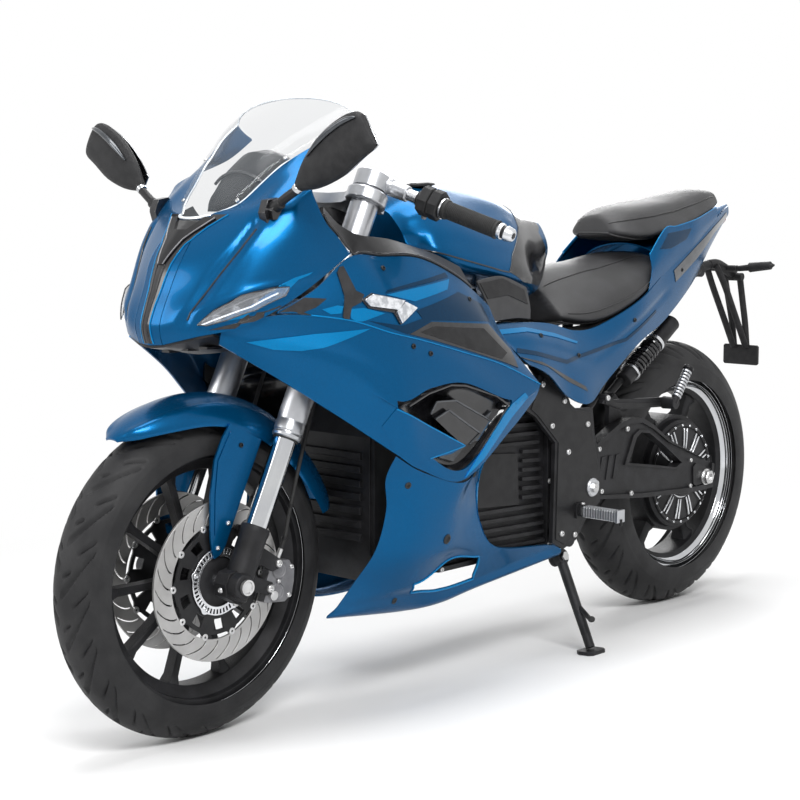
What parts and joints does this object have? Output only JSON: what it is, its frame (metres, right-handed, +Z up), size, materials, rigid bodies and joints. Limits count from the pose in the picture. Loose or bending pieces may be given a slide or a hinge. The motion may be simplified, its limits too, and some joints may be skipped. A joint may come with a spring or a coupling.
{
  "type": "electric motorcycle",
  "caption": "Faired sport motorcycle with a hub motor, leaning on its side stand, with turning wheels, steering and a folding stand.",
  "frame": {"origin": "on the ground, under the middle of the machine's overall box", "axes": "+X forward along the wheels' line, +Y to the rider's left, +Z up from the ground; the machine leans 4 degrees to +Y"},
  "size_m": [2.0939, 0.7418, 1.1478],
  "materials": {
    "frame_paint": "satin dark grey paint on cast and tubular steel",
    "battery_black": "satin black finned aluminium case",
    "blue_paint": "deep metallic blue under clear coat",
    "gloss_black": "gloss black moulding",
    "matt_black": "grained black moulding",
    "knee_texture": "finely ribbed black plastic",
    "clear_lens": "clear faceted lamp lens",
    "smoke_glass": "clear acrylic screen",
    "red_lens": "red and black lamp lenses",
    "seat_vinyl": "black grained vinyl seat cover",
    "cast_black": "satin black painted castings",
    "bright_alloy": "bright anodised alloy",
    "chrome": "hard chrome",
    "steel": "ground steel",
    "grip_rubber": "black rubber",
    "tyre_rubber": "black road tyre rubber"
  },
  "bodies": {
    "chassis": {"main_frame": "frame_paint", "subframe": "frame_paint", "battery_case": "battery_black", "nose_cowl": "blue_paint", "nose_trim": "gloss_black", "front_lamps": "clear_lens", "windscreen": "smoke_glass", "side_fairing_left": "blue_paint", "side_fairing_right": "blue_paint", "belly_pan_left": "blue_paint", "belly_pan_right": "blue_paint", "fairing_vents": "gloss_black", "cockpit_trim": "gloss_black", "instrument_panel": "matt_black", "tank_cover": "blue_paint", "knee_panels": "knee_texture", "rider_seat": "seat_vinyl", "pillion_seat": "seat_vinyl", "tail_left": "blue_paint", "tail_right": "blue_paint", "tail_cowl": "blue_paint", "rear_lamps": "red_lens", "plate_carrier": "matt_black", "swingarm": "frame_paint", "rear_axle": "steel", "rear_shock": "cast_black", "foot_pegs": "bright_alloy", "mirrors": "matt_black"},
    "steering": {"fork_clamps": "bright_alloy", "fork_tubes": "bright_alloy", "stanchions": "chrome", "fork_lowers": "cast_black", "front_axle": "steel", "brake_calipers": "cast_black", "handlebars": "bright_alloy", "grips": "grip_rubber", "controls": "matt_black", "front_fender": "blue_paint", "brake_hoses": "grip_rubber"},
    "front_wheel": {"front_tyre": "tyre_rubber", "front_rim": "cast_black", "front_discs": "steel"},
    "rear_wheel": {"rear_tyre": "tyre_rubber", "rear_rim": "cast_black", "hub_motor": "cast_black"},
    "side_stand": {"side_stand": "cast_black"}
  },
  "joints": [
    {"name": "steering_turn", "type": "hinge", "parent": "chassis", "child": "steering", "pos_m": [0.4331, -0.0159, 0.8452], "axis": [-0.4384, 0.0627, 0.8966], "range_deg": [-26, 26]},
    {"name": "front_wheel_spin", "type": "hinge", "parent": "steering", "child": "front_wheel", "pos_m": [0.755, -0.05462, 0.29149], "axis": [0, 0.9976, -0.0698], "continuous": true},
    {"name": "rear_wheel_spin", "type": "hinge", "parent": "chassis", "child": "rear_wheel", "pos_m": [-0.695, -0.05315, 0.31244], "axis": [0, 0.9976, -0.0698], "continuous": true},
    {"name": "side_stand_fold", "type": "hinge", "parent": "chassis", "child": "side_stand", "pos_m": [-0.147, 0.067, 0.19577], "axis": [0, 0.9703, 0.2419], "range_deg": [0, 95]}
  ]
}
